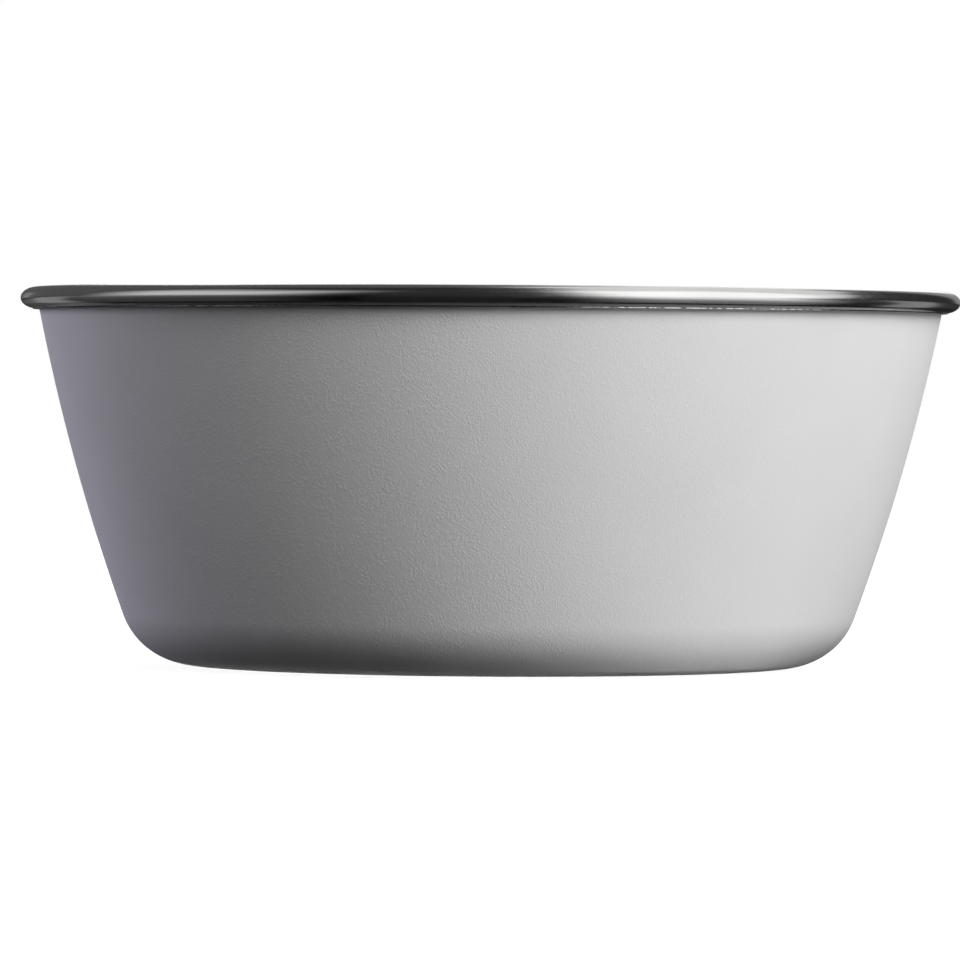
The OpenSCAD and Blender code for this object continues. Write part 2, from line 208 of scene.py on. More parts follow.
# Outlines, as lists of (radius, height) or (x, y)
def arc(centre, rx, ry, start, end, steps):
    """Points along a circular or elliptical arc from angle start to angle end, in degrees."""
    points = []
    for i in range(steps + 1):
        turn = math.radians(start + (end - start) * i / steps)
        points.append((centre[0] + rx * math.cos(turn), centre[1] + ry * math.sin(turn)))
    return points


def wall_r(z, depth):
    """Radius at height z of the wall's face that lies depth inside the outer face."""
    return arc_x + math.sqrt((WALL_ARC_R - depth) ** 2 - (arc_z - z) ** 2)


def wall_angle(z, depth):
    """Angle about the long arc's centre at which that face reaches height z, in degrees."""
    return math.degrees(math.asin((z - arc_z) / (WALL_ARC_R - depth)))


def bowl_curve(depth, z, corner, end_angle):
    """One face of a bowl, from the edge of its floor at height z round the corner and up the wall."""
    corner_z = z + corner
    corner_x = arc_x + math.sqrt((WALL_ARC_R - depth - corner) ** 2 - (arc_z - corner_z) ** 2)
    turn = math.degrees(math.atan2(corner_z - arc_z, corner_x - arc_x))
    wall = WALL_ARC_R - depth
    bend = arc((corner_x, corner_z), corner, corner, -90, turn, CORNER_STEPS)
    side = arc((arc_x, arc_z), wall, wall, turn, end_angle, WALL_STEPS)
    return bend + side[1:]


def rounded(corners):
    """Closed outline through corners (x, y, radius), each rounded to its own radius."""
    outline = []
    for i, (x, y, radius) in enumerate(corners):
        if radius == 0:
            outline.append((x, y))
            continue
        here = Vector((x, y))
        before = (Vector(corners[i - 1][:2]) - here).normalized()
        after = (Vector(corners[(i + 1) % len(corners)][:2]) - here).normalized()
        half = before.angle(after) / 2
        centre = here + (before + after).normalized() * radius / math.sin(half)
        first = here + before * radius / math.tan(half) - centre
        last = here + after * radius / math.tan(half) - centre
        start = math.degrees(math.atan2(first.y, first.x))
        sweep = (math.degrees(math.atan2(last.y, last.x)) - start + 540) % 360 - 180
        outline += arc(centre, radius, radius, start, start + sweep, EDGE_STEPS)
    return outline


def slot_outline(width, y0, y1, corner):
    """Rectangle with round corners, centred across x."""
    x = width / 2 - corner
    low = y0 + corner
    high = y1 - corner
    points = arc((x, low), corner, corner, -90, 0, EDGE_STEPS)
    points += arc((x, high), corner, corner, 0, 90, EDGE_STEPS)
    points += arc((-x, high), corner, corner, 90, 180, EDGE_STEPS)
    points += arc((-x, low), corner, corner, 180, 270, EDGE_STEPS)
    return points


def quarter(radius):
    """Pairs (inset, rise) round an edge of that radius, from its end face to its side."""
    return [(radius - x, radius - y) for x, y in arc((0, 0), radius, radius, 90, 0, EDGE_STEPS)]


def rod(radius, low, high):
    """Outline of a plain round rod between two heights."""
    return [(0, low), (radius, low), (radius, high), (0, high)]


# Meshes
def add_turned(bm, outline, steps=TURN_STEPS, place=Matrix.Identity(4)):
    """Turns a closed outline of (radius, height) about Z, then puts it in place."""
    rings = []
    for radius, height in outline:
        ring = []
        for i in range(1 if radius < POLE else steps):
            turn = 2 * math.pi * i / steps
            point = Vector((radius * math.cos(turn), radius * math.sin(turn), height))
            ring.append(bm.verts.new((place @ point) * MM))
        rings.append(ring)
    for lower, upper in zip(rings, rings[1:] + rings[:1]):
        if len(lower) == 1 and len(upper) == 1:
            continue
        for i in range(steps):
            corners = [lower[i % len(lower)], lower[(i + 1) % steps % len(lower)]]
            corners += [upper[(i + 1) % steps % len(upper)], upper[i % len(upper)]]
            bm.faces.new(list(dict.fromkeys(corners)))


def add_stack(bm, loops):
    """Skin over closed loops of 3-D points with equal counts, closed at both ends."""
    rings = [[bm.verts.new(point * MM) for point in loop] for loop in loops]
    for lower, upper in zip(rings, rings[1:]):
        for i in range(len(lower)):
            after = (i + 1) % len(lower)
            bm.faces.new((lower[i], lower[after], upper[after], upper[i]))
    bm.faces.new(list(reversed(rings[0])))
    bm.faces.new(rings[-1])


def level(outline, z):
    """A flat outline of (x, y) at height z."""
    return [Vector((x, y, z)) for x, y in outline]


def along_x(y, z):
    """Place of a turned form whose axis lies along X through that point."""
    return Matrix.Translation((0, y, z)) @ Matrix.Rotation(math.pi / 2, 4, "Y")


def new_object(name, bm):
    """Object from a finished bmesh, with its faces turned outwards."""
    bmesh.ops.recalc_face_normals(bm, faces=bm.faces)
    mesh = bpy.data.meshes.new(name)
    bm.to_mesh(mesh)
    bm.free()
    made = bpy.data.objects.new(name, mesh)
    bpy.context.scene.collection.objects.link(made)
    return made


def turned_object(name, outline, steps=TURN_STEPS, place=Matrix.Identity(4)):
    """Object turned from one closed outline."""
    bm = bmesh.new()
    add_turned(bm, outline, steps, place)
    return new_object(name, bm)


def stacked_object(name, loops):
    """Object skinned over one stack of loops."""
    bm = bmesh.new()
    add_stack(bm, loops)
    return new_object(name, bm)


def combine(piece, other, operation):
    """Joins other to piece or cuts it out of piece, and removes other."""
    modifier = piece.modifiers.new("combine", "BOOLEAN")
    modifier.operation = operation
    modifier.object = other
    modifier.solver = "EXACT"
    bpy.context.view_layer.update()
    made = piece.evaluated_get(bpy.context.evaluated_depsgraph_get())
    mesh = bpy.data.meshes.new_from_object(made)
    piece.modifiers.clear()
    piece.data = mesh
    bpy.data.objects.remove(other)


def dress(piece, material, body, node):
    """Smooth shading, material and place in the frame for a finished piece."""
    piece.data.materials.clear()
    piece.data.materials.append(material)
    piece.data.shade_smooth()
    piece.data.set_sharp_from_angle(angle=SHARP_ANGLE)
    weights = piece.modifiers.new("weighted normals", "WEIGHTED_NORMAL")
    weights.keep_sharp = True
    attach(piece, body)
    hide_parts(node)


# Materials: sizes in millimetres, pairs as (low, high) or (start, end)
NOISE_RANGE = (0.3, 0.7)
COAT_GRAIN = 0.40
COAT_FINE_GRAIN = 0.18
COAT_DRIFT = 28.0
COAT_PATCH = 3.0
COAT_RELIEF = 0.06
COAT_DARK = (0.655, 0.655, 0.658)
COAT_LIGHT = (0.685, 0.685, 0.688)
COAT_ROUGH = (0.46, 0.60)
LUMP_HEIGHTS = (0.0, 0.8)
LUMP_RANGE = (0.44, 0.80)
FINE_HEIGHT = 0.4
PATCH_HEIGHTS = (0.6, 1.0)
PATCH_RANGE = (0.40, 0.60)
GRAIN_MIDDLE_X = -15.0
GRAIN_FADE = (28.0, 62.0)
GRAIN_LEAST = 0.4
# Painted shade on the coat under the rim: colour factor at the lip, and the height in millimetres it
# fades over
PAINTED_RIM_SHADE = 0.62
PAINTED_RIM_SHADE_H = 1.4
SATIN_RING = 0.30
SATIN_STRETCH = 1.2
SATIN_ROUGH = (0.24, 0.36)
SATIN_RELIEF = 0.007
SATIN_STRENGTH = 0.6
POLISH_RING = 0.5
POLISH_STRETCH = 40.0
POLISH_ROUGH = (0.17, 0.21)
POLISH_BELOW_LIP = (3.0, 0.5)
STEEL_CLOUD = 22.0
STEEL_DARK = (0.59, 0.59, 0.585)
STEEL_LIGHT = (0.65, 0.65, 0.645)
OUTSIDE_INSET = (3.4, 3.2)
# Painted shade where the rim turns under: a band above the lip, darker towards the left
UNDER_SHADE_BAND = (0.19, 0.82)
UNDER_SHADE_SOFT = 0.04
UNDER_SHADE_DEPTH = (0.89, 0.79)
UNDER_SHADE_X = (0.0, 32.0)
# Painted shade along the lip's edge, broken by spots of glint that are brighter towards the right
LINE_BAND = (-0.1, 0.16)
LINE_SOFT = 0.02
LINE_GLINT_LEVELS = (0.35, 1.0)
LINE_GLINT_X = (-30.0, 10.0)
GLINT_SPOT_SIZE = 0.8
GLINT_SPOT_LEVELS = (0.15, 1.0)
GLINT_SPOT_RANGE = (0.42, 0.56)


class Surface:
    """A material with short calls for its nodes; a socket given as an input is linked to it."""

    def __init__(self, name):
        self.material = bpy.data.materials.new(name)
        self.material.use_nodes = True
        self.tree = self.material.node_tree
        self.tree.nodes.clear()
        self.output = self.node("ShaderNodeOutputMaterial")
        self.place = self.node("ShaderNodeTexCoord").outputs["Object"]

    def node(self, kind, inputs=None, **settings):
        """A new node with those inputs and settings."""
        made = self.tree.nodes.new(kind)
        for name, value in settings.items():
            setattr(made, name, value)
        for name, value in (inputs or {}).items():
            if isinstance(value, bpy.types.NodeSocket):
                self.tree.links.new(value, made.inputs[name])
            else:
                made.inputs[name].default_value = value
        return made

    def noise(self, size, detail=2.0, vector=None):
        """Noise with features of that size, in millimetres."""
        inputs = {"Vector": vector or self.place, "Scale": 1 / (size * MM), "Detail": detail}
        return self.node("ShaderNodeTexNoise", inputs).outputs["Fac"]

    def span(self, value, low, high, start=NOISE_RANGE[0], end=NOISE_RANGE[1]):
        """Value from start to end, mapped to low to high."""
        inputs = {"Value": value, "From Min": start, "From Max": end, "To Min": low, "To Max": high}
        return self.node("ShaderNodeMapRange", inputs).outputs["Result"]

    def span_mm(self, value, low, high, start, end):
        """Value in metres, from start to end millimetres, mapped to low to high."""
        return self.span(value, low, high, start * MM, end * MM)

    def math(self, operation, first, second=0.0):
        """Result of one operation on two values, or on the first alone."""
        made = self.node("ShaderNodeMath", operation=operation)
        for i, value in enumerate((first, second)):
            if isinstance(value, bpy.types.NodeSocket):
                self.tree.links.new(value, made.inputs[i])
            else:
                made.inputs[i].default_value = value
        return made.outputs["Value"]

    def times(self, first, second):
        """Product of two values."""
        return self.math("MULTIPLY", first, second)

    def rest_of(self, share):
        """What a share leaves of 1."""
        return self.math("SUBTRACT", 1.0, share)

    def tint(self, value, dark, light):
        """Colour from dark to light over a noise's usual range."""
        ramp = self.node("ShaderNodeValToRGB", {"Fac": value})
        for stop, position, colour in zip(ramp.color_ramp.elements, NOISE_RANGE, (dark, light)):
            stop.position = position
            stop.color = (*colour, 1.0)
        return ramp.outputs["Color"]

    def bump(self, height, depth, strength=1.0):
        """Normal of a relief that is depth millimetres deep."""
        inputs = {"Height": height, "Distance": depth * MM, "Strength": strength}
        return self.node("ShaderNodeBump", inputs).outputs["Normal"]

    def part(self, axis):
        """The X, Y or Z coordinate of the point, in metres."""
        return self.node("ShaderNodeSeparateXYZ", {"Vector": self.place}).outputs[axis]

    def radius(self):
        """Distance of the point from the Z axis, in metres."""
        inputs = {0: self.place, 1: (1.0, 1.0, 0.0)}
        flat = self.node("ShaderNodeVectorMath", inputs, operation="MULTIPLY").outputs["Vector"]
        return self.node("ShaderNodeVectorMath", {0: flat}, operation="LENGTH").outputs["Value"]

    def rings(self, size, stretch):
        """Noise in rings about the Z axis, of that width in millimetres, that drifts as they turn."""
        turn = self.math("ABSOLUTE", self.math("ARCTAN2", self.part("Y"), self.part("X")))
        side = self.times(turn, stretch * MM)
        inputs = {"X": self.radius(), "Y": self.part("Z"), "Z": side}
        return self.noise(size, 2.0, self.node("ShaderNodeCombineXYZ", inputs).outputs["Vector"])

    def azimuth(self):
        """Angle of the point from the front towards the right, in radians."""
        ahead = self.times(self.part("Y"), -1.0)
        return self.math("ARCTAN2", self.part("X"), ahead)

    def band(self, value, start, end, edge):
        """1 where value, in metres, lies between start and end in millimetres, with soft edges."""
        rise = self.span_mm(value, 0.0, 1.0, start - edge, start)
        fall = self.span_mm(value, 1.0, 0.0, end, end + edge)
        return self.times(rise, fall)

    def darken(self, colour, amount):
        """Colour times a grey of that amount."""
        made = self.node("ShaderNodeVectorMath", {0: colour}, operation="SCALE")
        self.tree.links.new(amount, made.inputs["Scale"])
        return made.outputs["Vector"]

    def principled(self, inputs):
        """Ends the material with a principled shader."""
        shader = self.node("ShaderNodeBsdfPrincipled", inputs)
        self.tree.links.new(shader.outputs["BSDF"], self.output.inputs["Surface"])
        return self.material


def powder_coat():
    """Textured paint: a fine orange peel that calms towards both sides, with painted shade close under
    the rim.
    """
    surface = Surface("powder_coat")
    grain = surface.noise(COAT_GRAIN)
    fine = surface.times(surface.noise(COAT_FINE_GRAIN, 1.0), FINE_HEIGHT)
    peel = surface.math("ADD", surface.span(grain, *LUMP_HEIGHTS, *LUMP_RANGE), fine)
    patches = surface.span(surface.noise(COAT_PATCH), *PATCH_HEIGHTS, *PATCH_RANGE)
    aside = surface.math("ABSOLUTE", surface.math("SUBTRACT", surface.part("X"), GRAIN_MIDDLE_X * MM))
    calm = surface.span_mm(aside, 1.0, GRAIN_LEAST, *GRAIN_FADE)
    relief = surface.times(surface.times(peel, patches), calm)
    colour = surface.tint(surface.noise(COAT_DRIFT), COAT_DARK, COAT_LIGHT)
    # Painted shade: the coat's colour darkens towards the lip, standing in for the rim's shadow on the
    # wall
    painted_rim_shade = surface.span_mm(surface.part("Z"), 1.0, PAINTED_RIM_SHADE, lip_z - PAINTED_RIM_SHADE_H, lip_z)
    return surface.principled({
        "Base Color": surface.darken(colour, painted_rim_shade),
        "Roughness": surface.span(grain, *COAT_ROUGH),
        "IOR": 1.45,
        "Normal": surface.bump(relief, COAT_RELIEF),
    })


def bowl_steel():
    """Stainless steel: satin with turned rings inside and a polished rim.

    The rim has painted shade where it turns under, darker towards the left. Painted shade along the
    edge of its lip breaks it into a bright line of spots, brighter towards the right.
    """
    surface = Surface("bowl_steel")
    height = surface.part("Z")
    across = surface.part("X")
    polish = surface.span_mm(height, 0.0, 1.0, *(lip_z - drop for drop in POLISH_BELOW_LIP))
    rings = surface.rings(SATIN_RING, SATIN_STRETCH)
    marks = surface.rings(POLISH_RING, POLISH_STRETCH)
    inside = surface.rest_of(polish)
    satin = surface.times(surface.span(rings, *SATIN_ROUGH), inside)
    bright = surface.times(surface.span(marks, *POLISH_ROUGH), polish)
    relief = surface.times(rings, inside)
    outside_ends = (RIM_D / 2 - inset for inset in OUTSIDE_INSET)
    outside = surface.span_mm(surface.radius(), 0.0, 1.0, *outside_ends)
    # Painted shade: the steel's colour is darkened where the roll turns under, more on the left, in
    # place of the shadowed wall it mirrors
    under = surface.band(height, *(lip_z + rise for rise in UNDER_SHADE_BAND), UNDER_SHADE_SOFT)
    painted_under_shade = surface.span_mm(across, *UNDER_SHADE_DEPTH, *UNDER_SHADE_X)
    left_by_under_shade = surface.rest_of(surface.times(surface.times(under, outside), painted_under_shade))
    # Painted shade on the lip's edge line, except at spots of glint, which get brighter towards the
    # right where the light falls
    line = surface.band(height, *(lip_z + rise for rise in LINE_BAND), LINE_SOFT)
    glint_spots = surface.span(surface.noise(GLINT_SPOT_SIZE), *GLINT_SPOT_LEVELS, *GLINT_SPOT_RANGE)
    glint_share = surface.times(glint_spots, surface.span_mm(across, *LINE_GLINT_LEVELS, *LINE_GLINT_X))
    painted_line_shade = surface.times(surface.times(line, outside), surface.rest_of(glint_share))
    left_by_painted_shade = surface.times(left_by_under_shade, surface.rest_of(painted_line_shade))
    colour = surface.tint(surface.noise(STEEL_CLOUD, 3.0), STEEL_DARK, STEEL_LIGHT)
    return surface.principled({
        "Base Color": surface.darken(colour, left_by_painted_shade),
        "Metallic": 1.0,
        "Roughness": surface.math("ADD", satin, bright),
        "Normal": surface.bump(relief, SATIN_RELIEF, SATIN_STRENGTH),
    })


def wire_steel():
    """Polished wire with fine drawn scratches."""
    surface = Surface("bail_steel")
    marks = surface.noise(0.5, 3.0)
    return surface.principled({
        "Base Color": surface.tint(surface.noise(6.0), (0.60, 0.60, 0.60), (0.67, 0.67, 0.665)),
        "Metallic": 1.0,
        "Roughness": surface.span(marks, 0.10, 0.20),
        "Normal": surface.bump(marks, 0.004, 0.5),
    })


def moulded_plastic():
    """Matte plastic with a fine spark-eroded texture."""
    surface = Surface("lid_plastic")
    texture = surface.noise(0.30, 2.0)
    return surface.principled({
        "Base Color": surface.tint(surface.noise(30.0), (0.515, 0.52, 0.525), (0.53, 0.535, 0.54)),
        "Roughness": surface.span(texture, 0.42, 0.56),
        "IOR": 1.5,
        "Normal": surface.bump(texture, 0.018),
    })


def silicone(name, dark, light):
    """Soft matte rubber with a dusty bloom."""
    surface = Surface(name)
    bloom = surface.noise(7.0, 4.0)
    return surface.principled({
        "Base Color": surface.tint(bloom, dark, light),
        "Roughness": surface.span(bloom, 0.58, 0.74),
        "IOR": 1.41,
        "Normal": surface.bump(surface.noise(0.4), 0.01),
    })


def plain_metal(name, dark, light, size, rough):
    """Bare metal for the parts that are shut inside the wall."""
    surface = Surface(name)
    spots = surface.noise(size, 3.0)
    return surface.principled({
        "Base Color": surface.tint(spots, dark, light),
        "Metallic": 1.0,
        "Roughness": surface.span(spots, rough, rough + 0.15),
        "Normal": surface.bump(spots, 0.03),
    })


def seal_glass():
    """Grey-green fused glass with cloudy streaks."""
    surface = Surface("seal_glass")
    streaks = surface.noise(1.5, 3.0)
    return surface.principled({
        "Base Color": surface.tint(streaks, (0.30, 0.36, 0.37), (0.42, 0.48, 0.50)),
        "Roughness": surface.span(streaks, 0.08, 0.18),
        "Transmission Weight": 0.6,
        "IOR": 1.5,
        "Normal": surface.bump(streaks, 0.02),
    })


def lid_foam():
    """Cream closed-cell foam."""
    surface = Surface("lid_foam")
    cells = surface.noise(0.8, 3.0)
    return surface.principled({
        "Base Color": surface.tint(cells, (0.66, 0.62, 0.50), (0.80, 0.77, 0.66)),
        "Roughness": surface.span(cells, 0.80, 0.95),
        "Normal": surface.bump(cells, 0.2),
    })


coat = powder_coat()
steel = bowl_steel()
wire = wire_steel()
plastic = moulded_plastic()
pad_rubber = silicone("pad_silicone", (0.032, 0.032, 0.034), (0.050, 0.050, 0.053))
gasket_rubber = silicone("gasket_silicone", (0.055, 0.056, 0.060), (0.080, 0.081, 0.086))

# CAD nodes that are shut inside the wall or the lid keep their meshes
inner_materials = {
    "radiation_foil": plain_metal("foil", (0.70, 0.71, 0.73), (0.80, 0.81, 0.83), 4.0, 0.12),
    "getter": plain_metal("getter_metal", (0.06, 0.06, 0.062), (0.12, 0.12, 0.122), 0.3, 0.55),
    "vacuum_seal": seal_glass(),
    "insulation_ring": lid_foam(),
}
for node_name, inner_material in inner_materials.items():
    node_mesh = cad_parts[node_name].data
    node_mesh.materials.clear()
    node_mesh.materials.append(inner_material)


# Bowl
def coated_shell():
    """Outer wall and base, with the recess for the pad."""
    top_z = bowl_h - SHEET_T - WELD_GAP
    edge_c = (RECESS_R + RECESS_EDGE_R, foot_z + RECESS_EDGE_R)
    outline = [(PORT_R, recess_z), (RECESS_R, recess_z)]
    outline += arc(edge_c, RECESS_EDGE_R, RECESS_EDGE_R, 180, 270, EDGE_STEPS)
    outline += bowl_curve(0, foot_z, CORNER_R, wall_angle(top_z, 0))
    inside = bowl_curve(SHEET_T, foot_z + SHEET_T, CORNER_R - SHEET_T, wall_angle(top_z, SHEET_T))
    outline += reversed(inside)
    outline.append((RECESS_R + SHEET_T, foot_z + SHEET_T))
    outline.append((RECESS_R + SHEET_T, recess_z + SHEET_T))
    outline.append((PORT_R, recess_z + SHEET_T))
    dress(turned_object("coated_shell", outline), coat, "bowl", "outer_shell")


def steel_bowl():
    """Inner wall and floor, whose upper edge is rolled out to make the rim."""
    back = wall_total - SHEET_T
    shoulder_z = bowl_h - SHOULDER_R
    reach = WALL_ARC_R - wall_total + SHOULDER_R
    shoulder_x = arc_x + math.sqrt(reach ** 2 - (arc_z - shoulder_z) ** 2)
    shoulder_c = (shoulder_x, shoulder_z)
    shoulder_a = math.degrees(math.atan2(shoulder_z - arc_z, shoulder_x - arc_x))
    back_r = SHOULDER_R - SHEET_T
    lip_r = wall_r(lip_z + SHEET_T, 0) + LIP_GAP
    roll_c = (lip_r + LIP_FLAT, bowl_h - ROLL_H / 2)
    nose = RIM_D / 2 - roll_c[0]
    edge_c = (lip_r + LIP_EDGE_R, lip_z + LIP_EDGE_R)
    outline = [(0, floor_z)]
    outline += bowl_curve(wall_total, floor_z, FLOOR_CORNER_R, shoulder_a)
    outline += arc(shoulder_c, SHOULDER_R, SHOULDER_R, 180 + shoulder_a, 90, CORNER_STEPS)
    outline += arc(roll_c, nose, ROLL_H / 2, 90, 0, ROLL_STEPS)
    outline += arc(roll_c, nose, ROLL_H / 2 - LIP_LAND, 0, -LIP_LAND_ANGLE, ROLL_STEPS)[1:]
    land_r = outline[-1][0]
    outline += [(land_r, lip_z + LIP_LAND / 4), (land_r - LIP_LAND / 4, lip_z)]
    outline += arc(edge_c, LIP_EDGE_R, LIP_EDGE_R, 270, 180, EDGE_STEPS)
    outline.append((lip_r, lip_z + SHEET_T))
    outline += arc(roll_c, nose - SHEET_T, ROLL_H / 2 - SHEET_T, -90, 90, ROLL_STEPS)
    outline += arc(shoulder_c, back_r, back_r, 90, 180 + shoulder_a, CORNER_STEPS)
    outline += reversed(bowl_curve(back, floor_z - SHEET_T, FLOOR_CORNER_R + SHEET_T, shoulder_a))
    outline.append((0, floor_z - SHEET_T))
    dress(turned_object("steel_bowl", outline), steel, "bowl", "inner_bowl")


def grip_pad():
    """Non-slip pad with ring grooves below and a pocket over the glass bead."""
    pad_r = RECESS_R - PAD_GAP
    pocket = SEAL_T + PAD_GAP
    pocket_r = SEAL_R + 2 * PAD_GAP
    corners = [(0, 0, 0)]
    for i in range(1, TREAD_COUNT + 1):
        tread = i * pad_r / (TREAD_COUNT + 1)
        corners.append((tread, 0, TREAD_EDGE_R))
        corners.append((tread, TREAD_DEPTH, TREAD_EDGE_R))
        corners.append((tread + TREAD_W, TREAD_DEPTH, TREAD_EDGE_R))
        corners.append((tread + TREAD_W, 0, TREAD_EDGE_R))
    corners.append((pad_r, 0, PAD_EDGE_R))
    corners.append((pad_r, recess_z, 0))
    corners.append((pocket_r, recess_z, 0))
    corners.append((pocket_r, recess_z - pocket, 0))
    corners.append((0, recess_z - pocket, 0))
    pad = turned_object("grip_pad", rounded(corners))
    dress(pad, pad_rubber, "bowl", "base_pad")


# Lid
lid_r = wall_r(lid_base_z, wall_total) - LID_CLEAR
groove_r = lid_r - GROOVE_DEPTH
groove_z = (lid_base_z + seam_z - GROOVE_H) / 2
pan_in_r = groove_r - LID_T
spigot_r = pan_in_r - SPIGOT_GAP


def pocket_loop(grow, z):
    """The vent pocket's outline, grown on every side."""
    width = pocket_w + 2 * grow
    end_y = pocket_y + pocket_l + grow
    return level(slot_outline(width, pocket_y - grow, end_y, POCKET_CORNER_R + grow), z)


def pocket_cutter():
    """The vent pocket's room, with a fillet at its floor and a rounded mouth."""
    loops = [pocket_loop(-inset, pocket_z + rise) for inset, rise in quarter(POCKET_FILLET_R)]
    mouth_z = lid_top_z - POCKET_EDGE_R
    for i in range(EDGE_STEPS):
        turn = math.pi / 2 * i / EDGE_STEPS
        grow = POCKET_EDGE_R * (1 - math.cos(turn))
        loops.append(pocket_loop(grow, mouth_z + POCKET_EDGE_R * math.sin(turn)))
    loops.append(pocket_loop(POCKET_EDGE_R, lid_top_z + CUT_STEP))
    loops.append(pocket_loop(POCKET_EDGE_R, lid_top_z + CUT_PAST))
    return stacked_object("pocket_cutter", loops)


def ear_loop(x, inset):
    """Side view of an ear at x: a round head on a foot that flares into the dish's floor."""
    head = ear_r - inset
    half = head - EAR_WAIST
    meet = math.degrees(math.acos(half / head))
    flare_c = half + FOOT_FILLET_R
    flare_z = dish_floor_z + FOOT_FILLET_R
    low_z = dish_floor_z - LID_T / 2
    side = arc((flare_c, flare_z), FOOT_FILLET_R, FOOT_FILLET_R, 260, 180, EDGE_STEPS)
    right = [(side[0][0], low_z)] + side
    points = right + arc((0, bail_z), head, head, -meet, 180 + meet, CORNER_STEPS)
    points += [(-y, z) for y, z in reversed(right)]
    return [Vector((x, bail_y + y, z)) for y, z in points]


def ear(side):
    """One bored ear, with round edges on both faces."""
    edge = quarter(EAR_EDGE_R)
    loops = [ear_loop(side * (ear_x + rise), inset) for inset, rise in edge]
    loops += [ear_loop(side * (ear_x + EAR_T - rise), inset) for inset, rise in reversed(edge)]
    return stacked_object("ear", loops)


def post(side):
    """One post under an arm of the bail, with a flared foot and a round top."""
    top_z = bail_z - wire_r - POST_GAP
    flare_c = (POST_R + FOOT_FILLET_R, dish_floor_z + FOOT_FILLET_R)
    top_c = (POST_R - EAR_EDGE_R, top_z - EAR_EDGE_R)
    flare = arc(flare_c, FOOT_FILLET_R, FOOT_FILLET_R, 260, 180, EDGE_STEPS)
    outline = [(0, dish_floor_z - LID_T / 2), (flare[0][0], dish_floor_z - LID_T / 2)]
    outline += flare
    outline += arc(top_c, EAR_EDGE_R, EAR_EDGE_R, 0, 90, EDGE_STEPS)
    outline.append((0, top_z))
    place = Matrix.Translation((side * arm_x, (bail_y + bar_y) / 2, 0))
    return turned_object("post", outline, SMALL_TURN_STEPS, place)


def lid_top():
    """Upper moulding: top plate, grip dish, bail ears, posts and vent pocket."""
    outline = rounded([
        (0, dish_floor_z, 0),
        (DISH_R - DISH_DRAFT, dish_floor_z, DISH_FILLET_R),
        (DISH_R, lid_top_z, LID_EDGE_R),
        (lid_r, lid_top_z, LID_EDGE_R),
        (lid_r, seam_z, SEAM_EDGE_R),
        (spigot_r, seam_z, 0),
        (spigot_r, seam_z - SPIGOT_H, SMALL_EDGE_R),
        (spigot_r - LID_T, seam_z - SPIGOT_H, SMALL_EDGE_R),
        (spigot_r - LID_T, seam_z, 0),
        (DISH_R + LID_T, seam_z, 0),
        (DISH_R - DISH_DRAFT + LID_T, dish_floor_z - LID_T, LID_EDGE_R),
        (0, dish_floor_z - LID_T, 0),
    ])
    cover = turned_object("lid_top", outline)
    block_z = (pocket_z - LID_T, seam_z + LID_T / 2)
    combine(cover, stacked_object("block", [pocket_loop(LID_T, z) for z in block_z]), "UNION")
    for side in (-1, 1):
        combine(cover, ear(side), "UNION")
        combine(cover, post(side), "UNION")
    combine(cover, pocket_cutter(), "DIFFERENCE")
    reach = stub_end_x + EAR_SIDE_GAP
    bail_bore = rod(wire_r + BAIL_CLEAR, -reach, reach)
    pin_bore = rod(pin_r, -pin_end_x, pin_end_x)
    for hole, place in ((bail_bore, along_x(bail_y, bail_z)), (pin_bore, along_x(hinge_y, hinge_z))):
        combine(cover, turned_object("bore", hole, SMALL_TURN_STEPS, place), "DIFFERENCE")
    combine(cover, vent_hole(), "DIFFERENCE")
    dress(cover, plastic, "lid", "lid_cover")


def vent_hole():
    """The room of the vent, right through the lid."""
    outline = rod(VENT_R, lid_base_z - CUT_PAST, lid_top_z)
    return turned_object("vent_hole", outline, SMALL_TURN_STEPS, vent_place)


def lid_tray():
    """Lower moulding, with the gasket's groove and the vent's chimney."""
    outline = rounded([
        (0, lid_base_z, 0),
        (lid_r, lid_base_z, LID_EDGE_R),
        (lid_r, groove_z, SEAM_EDGE_R),
        (groove_r, groove_z, 0),
        (groove_r, groove_z + GROOVE_H, 0),
        (lid_r, groove_z + GROOVE_H, SEAM_EDGE_R),
        (lid_r, seam_z, SEAM_EDGE_R),
        (pan_in_r, seam_z, 0),
        (pan_in_r, lid_base_z + LID_T, SMALL_EDGE_R),
        (0, lid_base_z + LID_T, 0),
    ])
    tray = turned_object("lid_tray", outline)
    chimney = rod(VENT_R + LID_T, lid_base_z + LID_T / 2, pocket_z - LID_T)
    combine(tray, turned_object("chimney", chimney, SMALL_TURN_STEPS, vent_place), "UNION")
    combine(tray, vent_hole(), "DIFFERENCE")
    dress(tray, plastic, "lid", "lid_pan")


def lid_seal():
    """Silicone ring with soft-edged fins."""
    body_r = lid_r + GASKET_PROUD
    body_h = GROOVE_H - 2 * GASKET_FIT
    body_z = groove_z + GASKET_FIT
    pitch = body_h / FIN_COUNT
    corners = [(groove_r, body_z, 0), (body_r, body_z, SMALL_EDGE_R)]
    for i in range(FIN_COUNT):
        z = body_z + i * pitch + (pitch - FIN_T) / 2
        tip_z = z + FIN_RISE
        corners.append((body_r, z, 0))
        corners.append((wall_r(tip_z, wall_total) - GASKET_GAP, tip_z, FIN_EDGE_R))
        corners.append((wall_r(tip_z + FIN_T, wall_total) - GASKET_GAP, tip_z + FIN_T, FIN_EDGE_R))
        corners.append((body_r, z + FIN_T, 0))
    corners.append((body_r, body_z + body_h, SMALL_EDGE_R))
    corners.append((groove_r, body_z + body_h, 0))
    seal = turned_object("lid_seal", rounded(corners))
    dress(seal, gasket_rubber, "lid", "lid_gasket")


